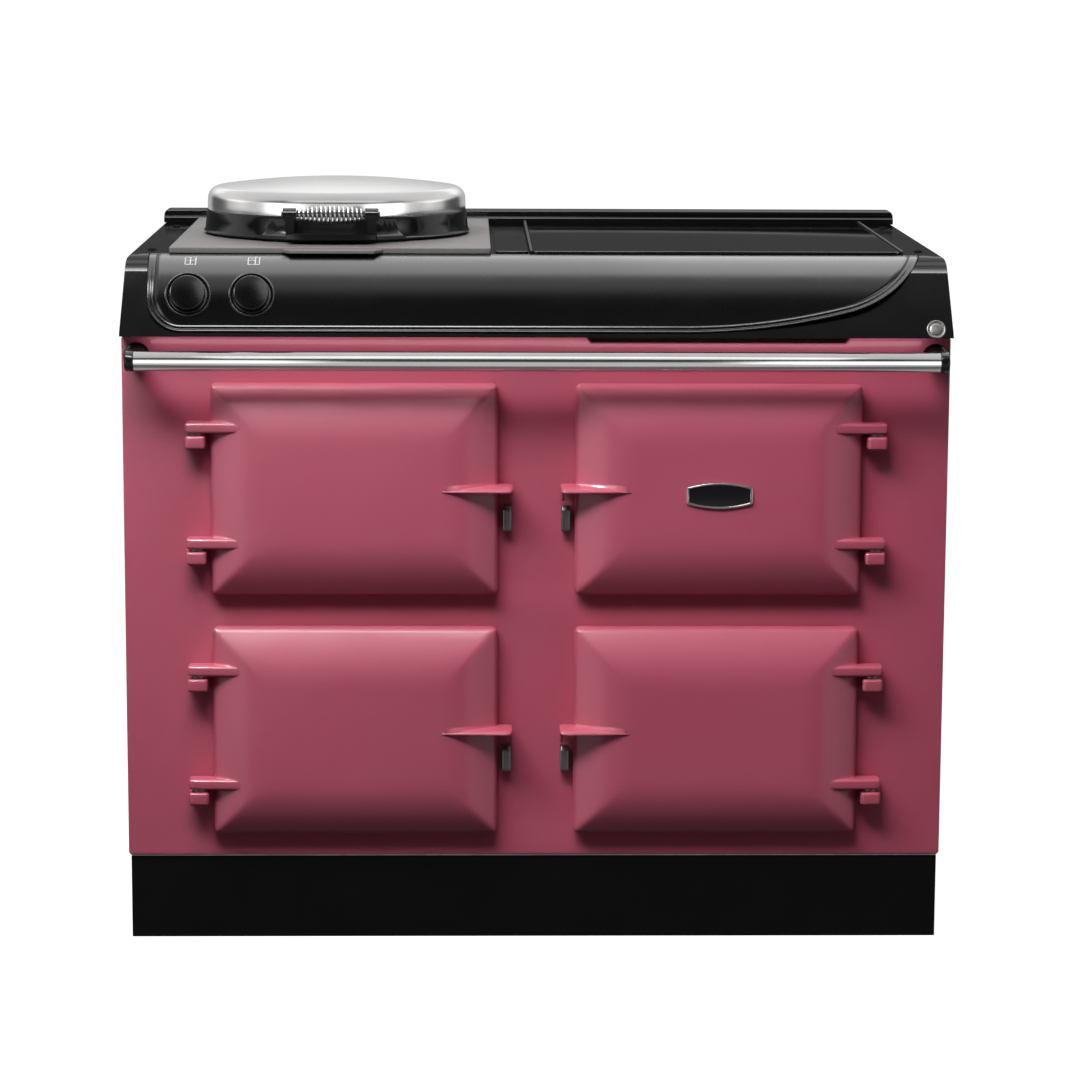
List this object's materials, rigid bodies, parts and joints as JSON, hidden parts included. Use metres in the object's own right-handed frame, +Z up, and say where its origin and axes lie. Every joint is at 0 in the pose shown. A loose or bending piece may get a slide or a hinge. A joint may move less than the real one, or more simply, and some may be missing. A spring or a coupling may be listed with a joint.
{
  "type": "cast iron range cooker",
  "caption": "Free-standing cast iron range cooker with hinged oven doors, a lidded round hotplate, a flush glass hob, control knobs and a towel rail.",
  "frame": {"origin": "on the floor, at the middle of the outline", "axes": "+X to the right as seen by the cook, the front faces -Y, +Z up"},
  "size_m": [1.098, 0.695, 1.0103],
  "materials": {
    "pink_enamel": "glossy vitreous enamel on cast iron",
    "black_enamel": "glossy vitreous enamel",
    "plinth_paint": "satin powder coat",
    "galvanised_steel": "galvanised sheet",
    "raw_cast_iron": "ground and as cast",
    "surround_enamel": "matt warm grey enamel",
    "polished_steel": "polished",
    "fixing_steel": "bright turned",
    "dark_steel": "blackened",
    "lid_steel": "polished stainless",
    "aluminium_sheet": "plain",
    "hob_ceramic_glass": "black ceramic glass",
    "trim_anodised": "dark anodised",
    "knob_plastic": "glossy black",
    "switch_plastic": "moulded",
    "mineral_wool": "mineral wool",
    "seal_rope": "braided glass rope",
    "copper_winding": "enamelled litz winding",
    "badge_metal": "chromed rim, black field"
  },
  "bodies": {
    "cooker_body": {"plinth": "plinth_paint", "levelling_feet": "fixing_steel", "base_tray": "galvanised_steel", "side_panel_left": "pink_enamel", "side_panel_right": "pink_enamel", "back_panel": "galvanised_steel", "front_panel": "pink_enamel", "oven_liner_top_left": "raw_cast_iron", "oven_liner_top_right": "raw_cast_iron", "oven_liner_bottom_left": "raw_cast_iron", "oven_liner_bottom_right": "raw_cast_iron", "oven_shelves": "fixing_steel", "oven_elements": "aluminium_sheet", "insulation_jacket": "mineral_wool", "door_seal_ropes": "seal_rope", "hinge_brackets": "pink_enamel", "hinge_pins": "fixing_steel", "hinge_washers": "dark_steel", "door_catches": "fixing_steel", "panel_screws": "dark_steel", "top_casting": "black_enamel", "control_fascia": "black_enamel", "top_screws": "black_enamel", "hotplate_surround": "surround_enamel", "centre_infill": "black_enamel", "hotplate": "raw_cast_iron", "hotplate_element": "dark_steel", "hotplate_well": "galvanised_steel", "hob_glass": "hob_ceramic_glass", "hob_side_trims": "trim_anodised", "induction_coils": "copper_winding", "hob_tray": "aluminium_sheet", "back_upstand": "black_enamel", "knob_bezels": "knob_plastic", "rotary_switches": "switch_plastic", "corner_roundel": "fixing_steel", "towel_rail": "polished_steel", "rail_brackets": "black_enamel", "terminal_box": "switch_plastic", "cable_gland": "switch_plastic", "back_panel_screws": "fixing_steel", "lid_hinge_brackets": "black_enamel", "lid_hinge_pin": "fixing_steel"},
    "door_top_left_body": {"door_top_left": "pink_enamel", "door_liner_top_left": "aluminium_sheet"},
    "door_top_right_body": {"door_top_right": "pink_enamel", "door_liner_top_right": "aluminium_sheet", "badge_plate": "badge_metal"},
    "door_bottom_left_body": {"door_bottom_left": "pink_enamel", "door_liner_bottom_left": "aluminium_sheet"},
    "door_bottom_right_body": {"door_bottom_right": "pink_enamel", "door_liner_bottom_right": "aluminium_sheet"},
    "lid_body": {"lid_dome": "lid_steel", "lid_ring": "black_enamel", "lid_liner": "aluminium_sheet", "lid_handle_bracket": "black_enamel", "lid_coil_handle": "lid_steel", "lid_handle_rod": "fixing_steel"},
    "knob_left_body": {"knob_left": "knob_plastic"},
    "knob_right_body": {"knob_right": "knob_plastic"}
  },
  "joints": [
    {"name": "door_top_left_hinge", "type": "hinge", "parent": "cooker_body", "child": "door_top_left_body", "pos_m": [-0.451, -0.284, 0.6175], "axis": [0, 0, -1], "range_deg": [0, 115]},
    {"name": "door_top_right_hinge", "type": "hinge", "parent": "cooker_body", "child": "door_top_right_body", "pos_m": [0.451, -0.284, 0.6175], "axis": [0, 0, 1], "range_deg": [0, 115]},
    {"name": "door_bottom_left_hinge", "type": "hinge", "parent": "cooker_body", "child": "door_bottom_left_body", "pos_m": [-0.451, -0.284, 0.2905], "axis": [0, 0, -1], "range_deg": [0, 115]},
    {"name": "door_bottom_right_hinge", "type": "hinge", "parent": "cooker_body", "child": "door_bottom_right_body", "pos_m": [0.451, -0.284, 0.2905], "axis": [0, 0, 1], "range_deg": [0, 115]},
    {"name": "hotplate_lid_hinge", "type": "hinge", "parent": "cooker_body", "child": "lid_body", "pos_m": [-0.275, 0.262, 0.95], "axis": [-1, 0, 0], "range_deg": [0, 80]},
    {"name": "knob_left_turn", "type": "hinge", "parent": "cooker_body", "child": "knob_left_body", "pos_m": [-0.459, -0.2814, 0.876], "axis": [0, 0.9397, -0.342], "range_deg": [0, 270]},
    {"name": "knob_right_turn", "type": "hinge", "parent": "cooker_body", "child": "knob_right_body", "pos_m": [-0.3755, -0.2814, 0.876], "axis": [0, 0.9397, -0.342], "range_deg": [0, 270]}
  ]
}
